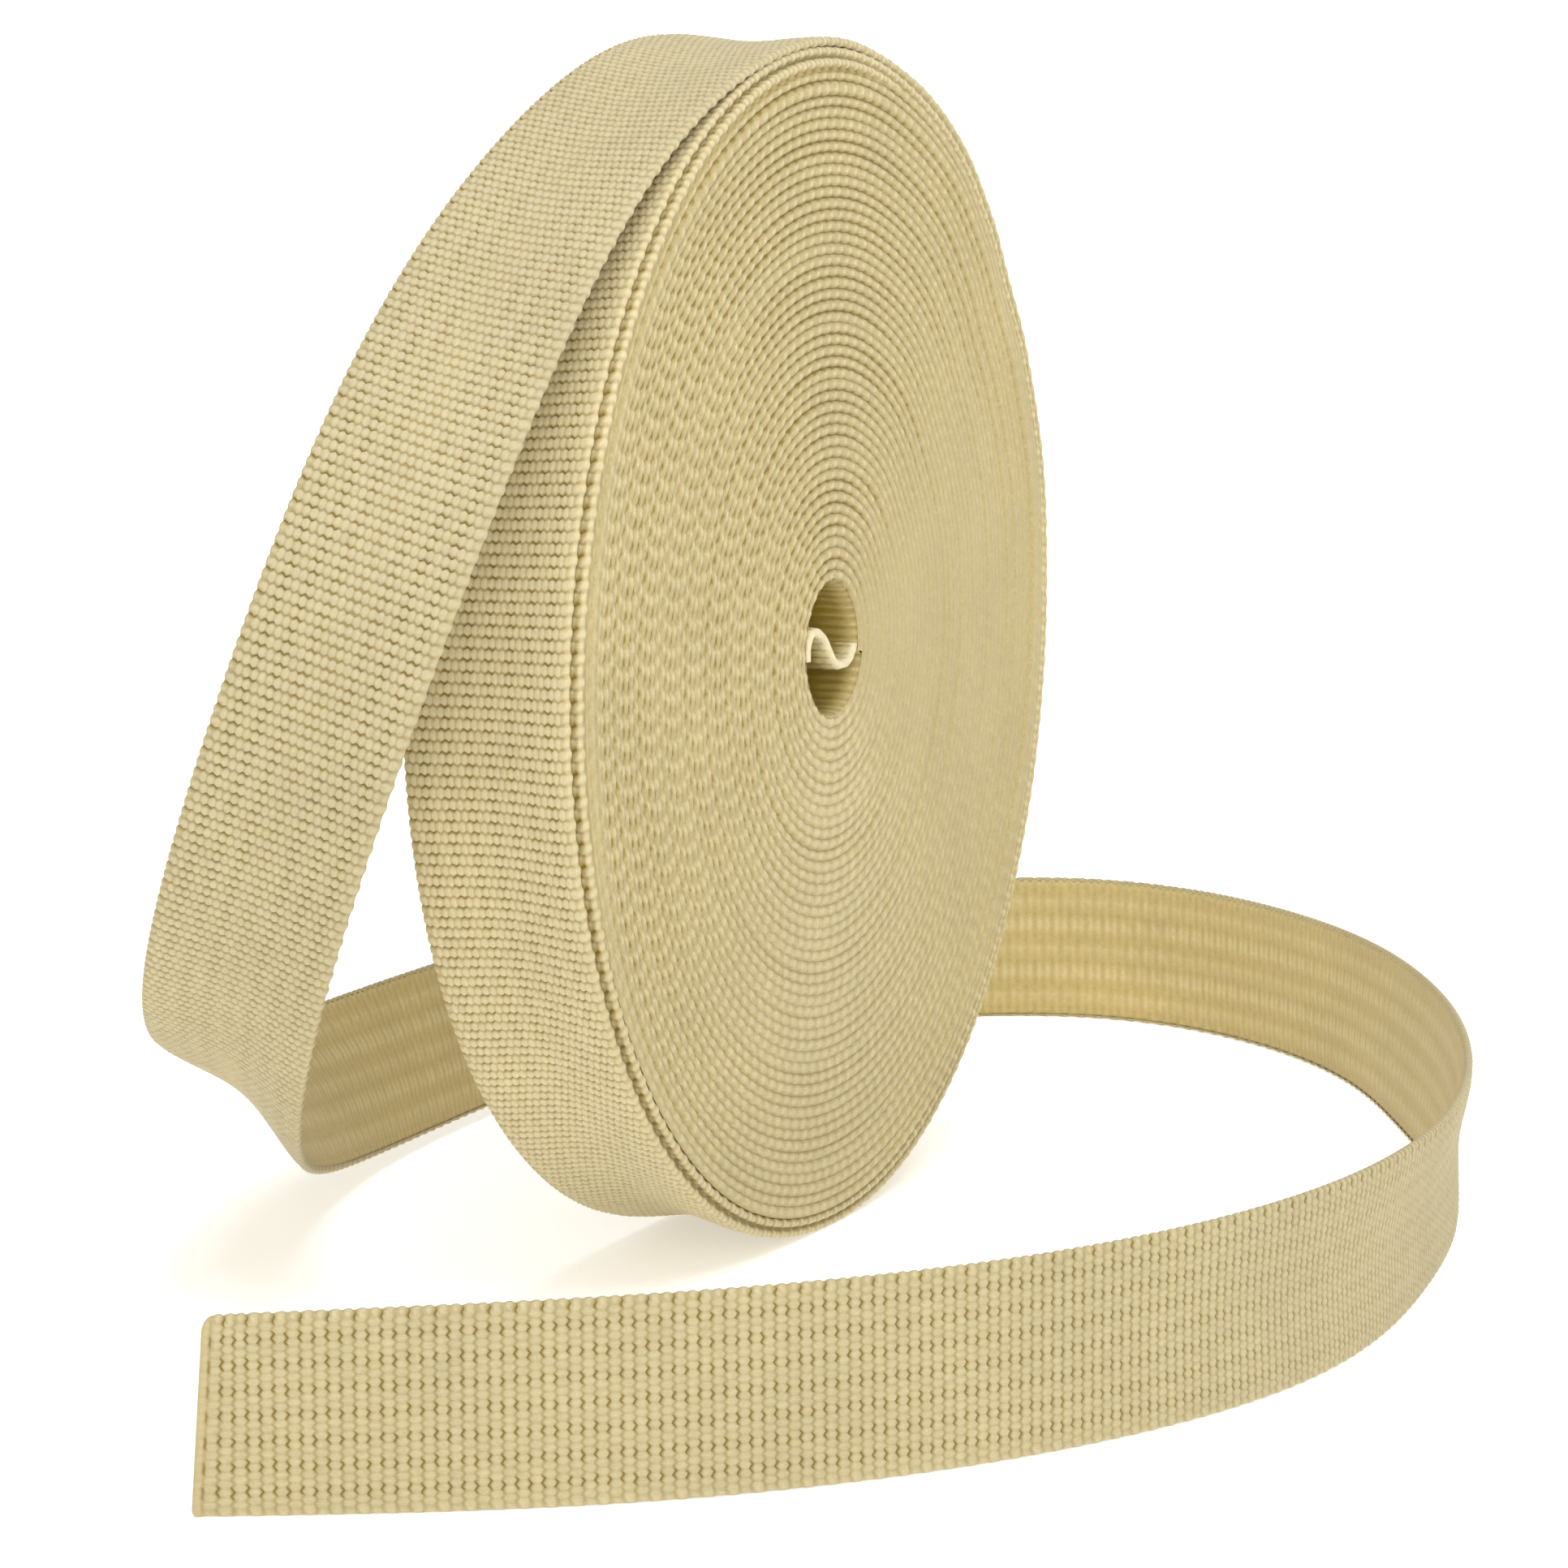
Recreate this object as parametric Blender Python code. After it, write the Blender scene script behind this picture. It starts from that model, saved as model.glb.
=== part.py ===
"""A roll of woven polypropylene webbing standing on its rim, with its free end
curling round it on the floor.

Metres, +Z up.  The origin is on the floor in the middle of the roll's flat
spot.  The roll's axis lies along X and its wound side that shows faces +X.  The
webbing was wound from the core outwards; the last turn comes up the back (+Y),
over the top, leaves the roll there and falls towards -Y, turns over at the low
left, passes behind the roll standing on its edge and comes round to the front.

In the functions x is measured from the middle of the roll's width; main()
moves everything to the origin.
"""

from collections import namedtuple
from math import cos, pi, sin

import bmesh
import bpy
import numpy as np

MM = 0.001

# the webbing
WIDTH = 25.0  # one inch tape
THICK = 1.5
PITCH = 1.6  # from one turn to the next, with the air between them

# the roll
R_OUT = 86.2  # outside of the last turn, at the top
R_CORE = 9.9  # open middle
FLAT = 0.75  # how far the bottom is pressed flat
DIP = 1.8  # the rim is drawn in along its middle
DIP_TOP = 0.9  # and less at the top, where the tape leaves it
TAPER = 1.25  # the far edge of the rim is wound tighter than the near one
REST_X = 11.0  # from the middle of the width to the middle of the flat spot
AXIS_Z = R_OUT - PITCH / 2 - FLAT
LEAVE = 16.0  # degrees behind the top where the free end's solid starts
STEP = (0.2, 0.55)  # degrees from there to the foot and the head of the step

# the side that shows: how far each part of it stands out from the tape's edge
# at the rim; the other side follows, because the tape is equally wide
Dish = namedtuple("Dish", "share out")
DISH = (
    Dish(0.00, 0.55),
    Dish(0.04, 0.75),
    Dish(0.20, 0.60),
    Dish(0.45, 0.30),
    Dish(0.70, 0.35),
    Dish(0.90, 0.05),
    Dish(1.00, 0.00),
)

# the near edge of the rim is uneven: how far it stands out at each angle from
# the top towards the back
Swell = namedtuple("Swell", "angle out")
SWELLS = (
    Swell(0, 0.0),
    Swell(18, 0.0),
    Swell(37, 0.6),
    Swell(46, 0.0),
    Swell(54, -0.9),
    Swell(64, -0.1),
    Swell(77, 0.6),
    Swell(90, 0.0),
    Swell(108, -0.3),
    Swell(120, -0.6),
    Swell(150, -0.3),
    Swell(172, 0.0),
    Swell(360, 0.0),
)

# the free end, from the top of the roll to the cut: the middle of the tape
# (x, y), how high its lower edge is (lift), the slope of its width from lower
# to upper edge (rise) and the compass direction of that width (bearing), in
# degrees, and how far it is hollowed across (cup)
Bend = namedtuple("Bend", "x y lift rise bearing cup")
FREE_END = (
    Bend(0, -22, 167.1, 4, 175, 0.9),
    Bend(-1.5, -72, 141, 9, 186, 0.7),
    Bend(-6.5, -103.5, 100, 18, 200, 0.4),
    Bend(-27, -99, 53.5, 17, 195, 0.6),
    Bend(-54, -57, 16.5, 37, 190, 2),
    Bend(-70, 2.5, 3, 63, 182, 1),
    Bend(-70.5, 65, 1.5, 84, 182, 0),
    Bend(-59.5, 127, 0, 89, 185, 0),
    Bend(-10.5, 168.5, 0, 89, 191, 0),
    Bend(37, 145, 0, 89, 189, 0),
    Bend(69, 100, 0, 97, 189, 0.2),
    Bend(92.5, 48, 0, 94, 191, 0.8),
    Bend(104.6, -5.5, 0, 97, 185, 1.3),
    Bend(104.1, -58, 0, 91, 175, 0.7),
    Bend(84, -106.7, 0, 90, 155, 0),
    Bend(46.5, -145.5, 0, 89, 135, 0),
    Bend(6, -170.5, 0, 97, 120, 0),
)
SLANT = 0.9  # the cut is this much off square at either edge
SECTIONS = 138  # along the free end

# the inner end, which crosses the open middle in an S: y and height above axis
Fold = namedtuple("Fold", "y up")
CORE_END = (
    Fold(-8.5, -1.4),
    Fold(-8.3, 0.8),
    Fold(-7.2, 2.2),
    Fold(-5.1, 2.4),
    Fold(-2.4, 1.1),
    Fold(-0.5, -0.9),
    Fold(1.5, -2.6),
    Fold(4.3, -3.1),
    Fold(7.0, -2.3),
    Fold(8.3, -0.4),
)


def smooth_through(points, count):
    """A natural cubic spline through the rows of points, evenly spaced."""
    points = np.asarray(points, float)
    steps = np.linalg.norm(np.diff(points[:, :3], axis=0), axis=1)
    at = np.concatenate([[0], np.cumsum(steps)])
    n = len(at)
    lhs, rhs = np.eye(n), np.zeros_like(points)
    for i in range(1, n - 1):
        lhs[i, i - 1 : i + 2] = steps[i - 1], 2 * (steps[i - 1] + steps[i]), steps[i]
        rhs[i] = 6 * (
            (points[i + 1] - points[i]) / steps[i]
            - (points[i] - points[i - 1]) / steps[i - 1]
        )
    bend = np.linalg.solve(lhs, rhs)
    want = np.linspace(0, at[-1], count)
    k = np.clip(np.searchsorted(at, want, side="right") - 1, 0, n - 2)
    h = steps[k][:, None]
    a, b = (at[k + 1] - want)[:, None], (want - at[k])[:, None]
    return (
        bend[k] * a**3 / (6 * h)
        + bend[k + 1] * b**3 / (6 * h)
        + (points[k] / h - bend[k] * h / 6) * a
        + (points[k + 1] / h - bend[k + 1] * h / 6) * b
    )


def hollow(across):
    """Share of the dip at a place across the width, -1 at one edge, 1 at the other."""
    return (1 + np.cos(pi * across)) / 2


def dip_at(a):
    """How far the rim is drawn in at an angle from the top."""
    return DIP_TOP + (DIP - DIP_TOP) * (1 - cos(a)) / 2


def swell_at(degrees):
    """How far the near edge of the rim stands out, eased between the rows."""
    degrees = degrees % 360
    k = max(i for i, s in enumerate(SWELLS[:-1]) if s.angle <= degrees)
    a, b = SWELLS[k], SWELLS[k + 1]
    share = (degrees - a.angle) / (b.angle - a.angle)
    return a.out + (b.out - a.out) * (1 - cos(pi * share)) / 2


def mesh_object(name, points, faces, colour, roughness, collection, origin=(0, 0, 0)):
    mesh = bpy.data.meshes.new(name)
    mesh.from_pydata([tuple(p) for p in np.asarray(points) * MM], [], faces)
    mesh.validate()
    mesh.update()
    material = bpy.data.materials.new(name)
    material.use_nodes = True
    shader = material.node_tree.nodes["Principled BSDF"]
    shader.inputs["Base Color"].default_value = (*colour, 1)
    shader.inputs["Roughness"].default_value = roughness
    shader.inputs["Metallic"].default_value = 0
    mesh.materials.append(material)
    mesh.shade_smooth()
    mesh.set_sharp_from_angle(angle=0.6)
    obj = bpy.data.objects.new(name, mesh)
    obj.location = np.asarray(origin) * MM
    collection.objects.link(obj)
    return obj


def ring_faces(rows, columns, closed_rows, start=0):
    """Quads of a grid whose columns close on themselves."""
    faces = []
    for i in range(rows if closed_rows else rows - 1):
        j = (i + 1) % rows
        for k in range(columns):
            m = (k + 1) % columns
            faces.append(
                (
                    start + i * columns + k,
                    start + j * columns + k,
                    start + j * columns + m,
                    start + i * columns + m,
                )
            )
    return faces


def roll_section(degrees, turned):
    """The roll's outline in its half plane, from the far side round the rim to
    the near side and back through the open middle.  turned is how far the last
    turn has been followed, which lowers the rim."""
    across = np.array([-1, -0.84, -0.66, -0.4, -0.15, 0.15, 0.4, 0.62, 0.78, 0.92, 1])
    a = degrees * pi / 180
    taper = TAPER * min(1.0, 1 - cos(a))
    rim = (
        R_OUT
        - PITCH * turned / 360
        - dip_at(a) * hollow(across)
        - taper * (1 - across) / 2
        + swell_at(degrees) * (1 + across) / 2
    )
    outline = [(x * WIDTH / 2, r) for x, r in zip(across, rim)]
    near = [(WIDTH / 2 + d.out, R_CORE + d.share * (rim[-1] - R_CORE)) for d in DISH[:-1]]
    far = [(-WIDTH / 2 + d.out, R_CORE + d.share * (rim[0] - R_CORE)) for d in DISH[:-1]]
    outline += near[::-1] + far
    return [(x, r * sin(a), max(r * cos(a), -AXIS_Z)) for x, r in outline]


def make_roll(collection):
    stations = [LEAVE + STEP[1] + i * (360 - STEP[1]) / 114 for i in range(114)]
    stations.append(LEAVE + 360)
    stations.append(LEAVE + 360 + STEP[0])
    points = []
    for degrees in stations:
        points += roll_section(degrees, degrees)
    count = len(points) // len(stations)
    faces = ring_faces(len(stations), count, closed_rows=True)
    return mesh_object(
        "roll", points, faces, (0.61, 0.51, 0.30), 0.8, collection, (0, 0, AXIS_Z)
    )


def free_end_sections():
    """Middle, direction and width direction of the free end, and its cup."""
    rows = []
    for degrees in (LEAVE, LEAVE / 2, 0):
        a = degrees * pi / 180
        r = R_OUT - THICK / 2 - PITCH * degrees / 360
        # its far edge stands up a little from the turns below
        up = AXIS_Z + r * cos(a) + 0.45
        rows.append((0, r * sin(a), up, 1.2, 180, dip_at(a)))
    for b in FREE_END:
        up = b.lift + WIDTH / 2 * sin(b.rise * pi / 180)
        rows.append((b.x, b.y, up, b.rise, b.bearing, b.cup))
    path = smooth_through(rows, SECTIONS)
    middle = path[:, :3]
    along = np.gradient(middle, axis=0)
    along /= np.linalg.norm(along, axis=1)[:, None]
    rise, bearing = path[:, 3] * pi / 180, path[:, 4] * pi / 180
    width = np.stack(
        [np.cos(rise) * np.cos(bearing), np.cos(rise) * np.sin(bearing), np.sin(rise)],
        -1,
    )
    width -= (width * along).sum(1)[:, None] * along
    width /= np.linalg.norm(width, axis=1)[:, None]
    return middle, along, width, np.clip(path[:, 5], 0, None)


def make_free_end(collection):
    middle, along, width, cup = free_end_sections()
    outward = np.cross(width, along)
    # outward is the face that lay outside on the roll
    if outward[0][2] < 0:
        outward = -outward
    across = np.array([-1, -0.68, -0.35, 0, 0.35, 0.68, 1.0])
    slant = np.zeros(SECTIONS)
    slant[-1] = SLANT
    points = []
    for m, t, w, o, c, s in zip(middle, along, width, outward, cup, slant):
        line = [
            m + w * x * WIDTH / 2 - o * c * hollow(x) - t * x * s for x in across
        ]
        ring = [p + o * THICK / 2 for p in line] + [p - o * THICK / 2 for p in line[::-1]]
        points += ring
    points = np.array(points)
    # where it stands on its edge the edge is flat on the floor
    points[:, 2] = np.where(points[:, 2] < 0.12, 0.0, points[:, 2])
    count = 2 * len(across)
    faces = ring_faces(len(middle), count, closed_rows=False)
    last = (len(middle) - 1) * count
    for k in range(len(across) - 1):
        a, b, c, d = k, k + 1, count - 2 - k, count - 1 - k
        faces.append((a, b, c, d))
        faces.append((last + d, last + c, last + b, last + a))
    return mesh_object(
        "loose_end", points, faces, (0.64, 0.54, 0.32), 0.78, collection
    )


def make_core_end(collection):
    path = smooth_through([(0, f.y, f.up) for f in CORE_END], 28)
    along = np.gradient(path, axis=0)
    along /= np.linalg.norm(along, axis=1)[:, None]
    side = np.stack([0 * along[:, 0], -along[:, 2], along[:, 1]], -1)
    upper, lower = path + side * THICK / 2, path - side * THICK / 2
    ring = np.concatenate([upper, lower[::-1]])
    count, half = len(ring), len(path)
    near, far = WIDTH / 2 + DISH[0].out, -WIDTH / 2 + DISH[0].out
    points = np.concatenate([ring + (near, 0, 0), ring + (far, 0, 0)])
    faces = []
    for k in range(count):
        m = (k + 1) % count
        faces.append((k, m, count + m, count + k))
    for k in range(half - 1):
        a, b, c, d = k, k + 1, count - 2 - k, count - 1 - k
        faces.append((d, c, b, a))
        faces.append((count + a, count + b, count + c, count + d))
    return mesh_object(
        "core_end", points, faces, (0.55, 0.44, 0.23), 0.8, collection, (0, 0, AXIS_Z)
    )


def outward_faces(obj):
    """Turns every face of the closed mesh outwards."""
    shape = bmesh.new()
    shape.from_mesh(obj.data)
    bmesh.ops.recalc_face_normals(shape, faces=shape.faces[:])
    shape.to_mesh(obj.data)
    shape.free()


def main():
    for obj in list(bpy.data.objects):
        bpy.data.objects.remove(obj, do_unlink=True)
    collection = bpy.data.collections.new("webbing_roll")
    bpy.context.scene.collection.children.link(collection)
    for obj in (make_roll(collection), make_free_end(collection), make_core_end(collection)):
        obj.location.x -= REST_X * MM
        outward_faces(obj)


main()
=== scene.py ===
"""A roll of woven polypropylene webbing with its free end curling round it.

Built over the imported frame: the free end and the turns of the roll are woven
surfaces laid out by the tape's real length u and width v, in millimetres.  u runs
along the free end from the place behind the top where it leaves the roll (0) to
the cut, and backwards (negative) through the turns to the core.  v runs across the
tape, from -12.5 at edge A, which is the near one on the roll and the lower one on
the floor, to 12.5 at edge B.
"""

from collections import namedtuple
from math import pi, radians

import bpy
import numpy as np
from mathutils import Matrix


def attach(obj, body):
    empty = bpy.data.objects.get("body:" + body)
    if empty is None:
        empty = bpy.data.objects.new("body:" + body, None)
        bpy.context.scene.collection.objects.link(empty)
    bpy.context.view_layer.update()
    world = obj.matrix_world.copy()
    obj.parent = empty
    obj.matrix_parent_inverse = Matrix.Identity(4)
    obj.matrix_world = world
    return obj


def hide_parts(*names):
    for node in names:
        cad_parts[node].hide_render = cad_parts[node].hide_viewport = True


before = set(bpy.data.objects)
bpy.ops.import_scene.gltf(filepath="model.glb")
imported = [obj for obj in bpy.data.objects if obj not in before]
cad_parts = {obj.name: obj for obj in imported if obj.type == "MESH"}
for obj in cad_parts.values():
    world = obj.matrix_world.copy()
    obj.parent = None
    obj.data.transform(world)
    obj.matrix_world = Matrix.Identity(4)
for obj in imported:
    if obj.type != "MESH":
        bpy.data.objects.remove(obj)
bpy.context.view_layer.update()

MM = 0.001

# ---------------------------------------------------------------- the same facts as the CAD

WIDTH = 25.0
HALF = WIDTH / 2
THICK = 1.5
PITCH = 1.6
R_OUT = 86.2
R_CORE = 9.9
FLAT = 0.75
DIP = 1.8
DIP_TOP = 0.9
TAPER = 1.25
REST_X = 11.0
AXIS_Z = R_OUT - PITCH / 2 - FLAT
LEAVE = 16.0
RAISED = 0.45  # the last turns lie loose at the top

Dish = namedtuple("Dish", "share out")
DISH = (
    Dish(0.00, 0.55),
    Dish(0.04, 0.75),
    Dish(0.20, 0.60),
    Dish(0.45, 0.30),
    Dish(0.70, 0.35),
    Dish(0.90, 0.05),
    Dish(1.00, 0.00),
)

Swell = namedtuple("Swell", "angle out")
SWELLS = (
    Swell(0, 0.0),
    Swell(18, 0.0),
    Swell(37, 0.6),
    Swell(46, 0.0),
    Swell(54, -0.9),
    Swell(64, -0.1),
    Swell(77, 0.6),
    Swell(90, 0.0),
    Swell(108, -0.3),
    Swell(120, -0.6),
    Swell(150, -0.3),
    Swell(172, 0.0),
    Swell(360, 0.0),
)

Bend = namedtuple("Bend", "x y lift rise bearing cup")
FREE_END = (
    Bend(0, -22, 167.1, 4, 175, 0.9),
    Bend(-1.5, -72, 141, 9, 186, 0.7),
    Bend(-6.5, -103.5, 100, 18, 200, 0.4),
    Bend(-27, -99, 53.5, 17, 195, 0.6),
    Bend(-54, -57, 16.5, 37, 190, 2),
    Bend(-70, 2.5, 3, 63, 182, 1),
    Bend(-70.5, 65, 1.5, 84, 182, 0),
    Bend(-59.5, 127, 0, 89, 185, 0),
    Bend(-10.5, 168.5, 0, 89, 191, 0),
    Bend(37, 145, 0, 89, 189, 0),
    Bend(69, 100, 0, 97, 189, 0.2),
    Bend(92.5, 48, 0, 94, 191, 0.8),
    Bend(104.6, -5.5, 0, 97, 185, 1.3),
    Bend(104.1, -58, 0, 91, 175, 0.7),
    Bend(84, -106.7, 0, 90, 155, 0),
    Bend(46.5, -145.5, 0, 89, 135, 0),
    Bend(6, -170.5, 0, 97, 120, 0),
)
SLANT = 0.9

Fold = namedtuple("Fold", "y up")
CORE_END = (
    Fold(-8.5, -1.4),
    Fold(-8.3, 0.8),
    Fold(-7.2, 2.2),
    Fold(-5.1, 2.4),
    Fold(-2.4, 1.1),
    Fold(-0.5, -0.9),
    Fold(1.5, -2.6),
    Fold(4.3, -3.1),
    Fold(7.0, -2.3),
    Fold(8.3, -0.4),
)

# ---------------------------------------------------------------- the weave

RIB = 1.56  # one weft to the next, along the tape
END = WIDTH / 24  # one warp float to the next, across it
RELIEF = 0.42
SLOT = 3 * END  # rows of small openings run along the tape this far apart
EDGE = 0.70  # half the height of the rounded selvedge
SURFACE = THICK / 2  # the floats' tops, from the middle of the thickness

# how far the near edge of each turn stands out beyond the dish, by turns from the
# outside: the last one is drawn in, and the next ones stand out past it
Lap = namedtuple("Lap", "turn out")
LAPS = (
    Lap(0.0, 0.0),
    Lap(0.1, 0.3),
    Lap(0.3, 0.5),
    Lap(0.45, 0.65),
    Lap(0.52, 0.45),
    Lap(0.62, 0.05),
    Lap(0.7, 0.0),
    Lap(1.0, 0.0),
    Lap(1.1, 0.35),
    Lap(1.3, 0.65),
    Lap(1.52, 0.85),
    Lap(1.65, 1.05),
    Lap(1.82, 1.15),
    Lap(1.95, 0.7),
    Lap(2.05, 0.35),
    Lap(2.35, 0.6),
    Lap(2.6, 1.0),
    Lap(3.0, 0.5),
    Lap(3.5, 0.75),
    Lap(4.0, 1.0),
    Lap(4.6, 0.8),
    Lap(5.3, 0.65),
    Lap(6.5, 0.5),
    Lap(9.0, 0.2),
    Lap(12.0, 0.0),
    Lap(60.0, 0.0),
)

# how loose the outer turns lie at the top of the roll
Loose = namedtuple("Loose", "turn up")
LOOSE = (
    Loose(0.0, 0.45),
    Loose(1.0, 0.45),
    Loose(2.0, 0.45),
    Loose(3.0, 0.15),
    Loose(4.0, 0.4),
    Loose(5.0, -0.12),
    Loose(6.0, 0.05),
    Loose(8.0, 0.0),
    Loose(60.0, 0.0),
)


def ease(low, high, value):
    """0 below low, 1 above high, smooth between."""
    share = np.clip((value - low) / (high - low), 0, 1)
    return share * share * (3 - 2 * share)


def chance(a, b):
    """A fixed number from 0 to 1 for each pair of whole numbers."""
    mixed = np.sin(a * 12.9898 + b * 78.233) * 43758.5453
    return mixed - np.floor(mixed)


def drift(at, seed):
    """A slow, even wander between -1 and 1 along a length in steps of 1."""
    low = np.floor(at)
    share = at - low
    share = share * share * (3 - 2 * share)
    return 2 * (chance(low, seed) * (1 - share) + chance(low + 1, seed) * share) - 1


ZIGZAG = 0.20  # the floats of one rib reach this far into the next


def weave(u, v):
    """Height of the outer face, 1 on top of a float and 0 in a gap, how much painted
    shade and random tone it gets there, and how far the point moves along the tape,
    so that the gap lines run in a zigzag between the interlocking floats."""
    shape = np.broadcast(u, v).shape
    u, v = np.broadcast_to(u, shape), np.broadcast_to(v, shape)
    row = np.floor(u / RIB + 1e-6)
    share = np.clip(u / RIB - row, 0, 1)
    shift = 0.5 * (row % 2)
    k = np.round(v / END - shift)
    reach = np.cos(2 * pi * (v / END - shift))
    wander = chance(row, k)
    steep = 1 - 2 * np.minimum(share, 1 - share)
    rib = np.sqrt(np.clip(1 - steep**2.6, 0, 1))
    crease = ((1 - reach) / 2) ** 3
    pulled = ease(560, 760, u)  # the front part of the free end lies pulled flatter
    top = 0.04 + rib * (1 - 0.28 * crease) * (0.88 + 0.12 * wander)
    top = 1 - (1 - top) * (1 - 0.30 * pulled)
    # small openings in the gap lines, in rows along the tape
    line = np.round(u / RIB)
    away = np.abs(u - line * RIB)
    place = v + 0.14 * (1 - 2 * (line % 2))
    slot = np.round(place / SLOT)
    length = 0.34 + 0.26 * chance(line, slot + 31)
    opened = np.exp(-((away / 0.13) ** 2))
    opened = opened * (1 - ease(length, length + 0.36, np.abs(place - slot * SLOT)))
    opened = opened * (1 - ease(10.2, 10.7, np.abs(v)))
    gap = np.exp(-((away / 0.15) ** 2))
    # every second gap ends in a short slanting mark at edge B
    mark = gap * (line % 2) * ease(10.9, 11.3, v)
    top = top - 0.36 * opened - 0.25 * mark
    # dark: painted shade in the gaps, the small openings, the marks at edge B, the creases between the floats
    # and on the flanks of the ribs, with a random tone per float; along the front part the gap shade is
    # lighter and the whole is painted darker
    dark = (0.40 - 0.14 * pulled) * gap + 0.62 * opened + 0.60 * mark
    dark = dark + (0.24 * crease * rib + 0.07 * steep**2) * (1 - 0.55 * pulled)
    dark = dark + (0.10 - 0.06 * pulled) * (wander - 0.5) + 0.13 * pulled
    slide = ZIGZAG * reach * (2 * share - 1) - 0.45 * mark * np.clip(v - 10.9, 0, 1)
    return top, np.clip(dark, 0, 1), slide


# ---------------------------------------------------------------- the tape's places


def smooth_through(points, count):
    """A natural cubic spline through the rows of points, evenly spaced."""
    points = np.asarray(points, float)
    steps = np.linalg.norm(np.diff(points[:, :3], axis=0), axis=1)
    at = np.concatenate([[0], np.cumsum(steps)])
    n = len(at)
    lhs, rhs = np.eye(n), np.zeros_like(points)
    for i in range(1, n - 1):
        lhs[i, i - 1 : i + 2] = steps[i - 1], 2 * (steps[i - 1] + steps[i]), steps[i]
        rhs[i] = 6 * (
            (points[i + 1] - points[i]) / steps[i]
            - (points[i] - points[i - 1]) / steps[i - 1]
        )
    bend = np.linalg.solve(lhs, rhs)
    want = np.linspace(0, at[-1], count)
    k = np.clip(np.searchsorted(at, want, side="right") - 1, 0, n - 2)
    h = steps[k][:, None]
    a, b = (at[k + 1] - want)[:, None], (want - at[k])[:, None]
    return (
        bend[k] * a**3 / (6 * h)
        + bend[k + 1] * b**3 / (6 * h)
        + (points[k] / h - bend[k] * h / 6) * a
        + (points[k + 1] / h - bend[k + 1] * h / 6) * b
    )


def unit(vectors):
    return vectors / np.linalg.norm(vectors, axis=-1, keepdims=True)


def hollow(across):
    return (1 + np.cos(pi * across)) / 2


def dip_at(a):
    return DIP_TOP + (DIP - DIP_TOP) * (1 - np.cos(a)) / 2


def swell_at(degrees):
    """How far the near edge of the rim stands out, eased between the rows."""
    degrees = np.asarray(degrees) % 360
    angles = np.array([s.angle for s in SWELLS], float)
    outs = np.array([s.out for s in SWELLS])
    k = np.clip(np.searchsorted(angles, degrees, side="right") - 1, 0, len(SWELLS) - 2)
    share = (degrees - angles[k]) / (angles[k + 1] - angles[k])
    return outs[k] + (outs[k + 1] - outs[k]) * (1 - np.cos(pi * share)) / 2


class FreeEnd:
    """The free end's middle line and directions, by real length from the roll."""

    def __init__(self):
        rows = []
        for degrees in (LEAVE, LEAVE / 2, 0):
            a = radians(degrees)
            r = R_OUT - THICK / 2 - PITCH * degrees / 360
            up = AXIS_Z + r * np.cos(a) + RAISED
            rows.append((0, r * np.sin(a), up, 1.2, 180, dip_at(a)))
        for b in FREE_END:
            up = b.lift + WIDTH / 2 * np.sin(radians(b.rise))
            rows.append((b.x, b.y, up, b.rise, b.bearing, b.cup))
        path = smooth_through(rows, 5000)
        middle = path[:, :3]
        steps = np.linalg.norm(np.diff(middle, axis=0), axis=1)
        self.at = np.concatenate([[0], np.cumsum(steps)])
        self.length = self.at[-1]
        along = unit(np.gradient(middle, axis=0))
        rise, bearing = np.radians(path[:, 3]), np.radians(path[:, 4])
        width = np.stack(
            [
                np.cos(rise) * np.cos(bearing),
                np.cos(rise) * np.sin(bearing),
                np.sin(rise),
            ],
            -1,
        )
        width = unit(width - (width * along).sum(1)[:, None] * along)
        outward = np.cross(width, along)
        if outward[0][2] < 0:
            outward = -outward
        self.rows = np.concatenate(
            [middle, along, width, outward, np.clip(path[:, 5], 0, None)[:, None]], 1
        )

    def place(self, u, v, n, slide=0.0):
        """Points for arrays of u (a column), v and n (rows, or full grids)."""
        u = np.asarray(u, float).reshape(-1)
        got = np.stack([np.interp(u, self.at, c) for c in self.rows.T], -1)
        middle, along = got[:, None, 0:3], unit(got[:, None, 3:6])
        width, outward = unit(got[:, None, 6:9]), unit(got[:, None, 9:12])
        cup = got[:, None, 12]
        v, n = np.broadcast_to(v, (len(u), v.shape[-1])), np.broadcast_to(
            n, (len(u), n.shape[-1])
        )
        slant = SLANT * ease(self.length - 7, self.length, u)[:, None] * v / HALF
        points = (
            middle
            + width * v[..., None]
            + outward * (n - cup * hollow(np.clip(v / HALF, -1, 1)))[..., None]
            + along * (slide - slant)[..., None]
        )
        points[..., 2] = np.maximum(points[..., 2], 0.02)
        return points


class Turns:
    """The spiral of the roll: real length back from where the free end leaves it."""

    def __init__(self):
        turns = (R_OUT - R_CORE - PITCH) / PITCH + 0.6
        self.degrees = np.arange(LEAVE - 8, turns * 360, 0.5)
        r = R_OUT - THICK / 2 - PITCH * self.degrees / 360
        steps = (r[1:] + r[:-1]) / 2 * radians(0.5)
        s = np.concatenate([[0], np.cumsum(steps)])
        self.s = s - np.interp(LEAVE, self.degrees, s)
        self.length = self.s[-1]

    def turned(self, s):
        return np.interp(s, self.s, self.degrees)

    def length_to_each(self, degrees):
        return np.interp(degrees, self.degrees, self.s)

    def length_to(self, degrees):
        return float(np.interp(degrees, self.degrees, self.s))


def share_of(turned):
    """1 at the outside of the roll, 0 at the core."""
    return 1 - (PITCH * turned / 360) / (R_OUT - R_CORE)


def loose_at(turned):
    out = np.interp(turned / 360, [x.turn for x in LOOSE], [x.up for x in LOOSE])
    a = np.radians(turned)
    return out * (1 + np.cos(a)) / 2


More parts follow.
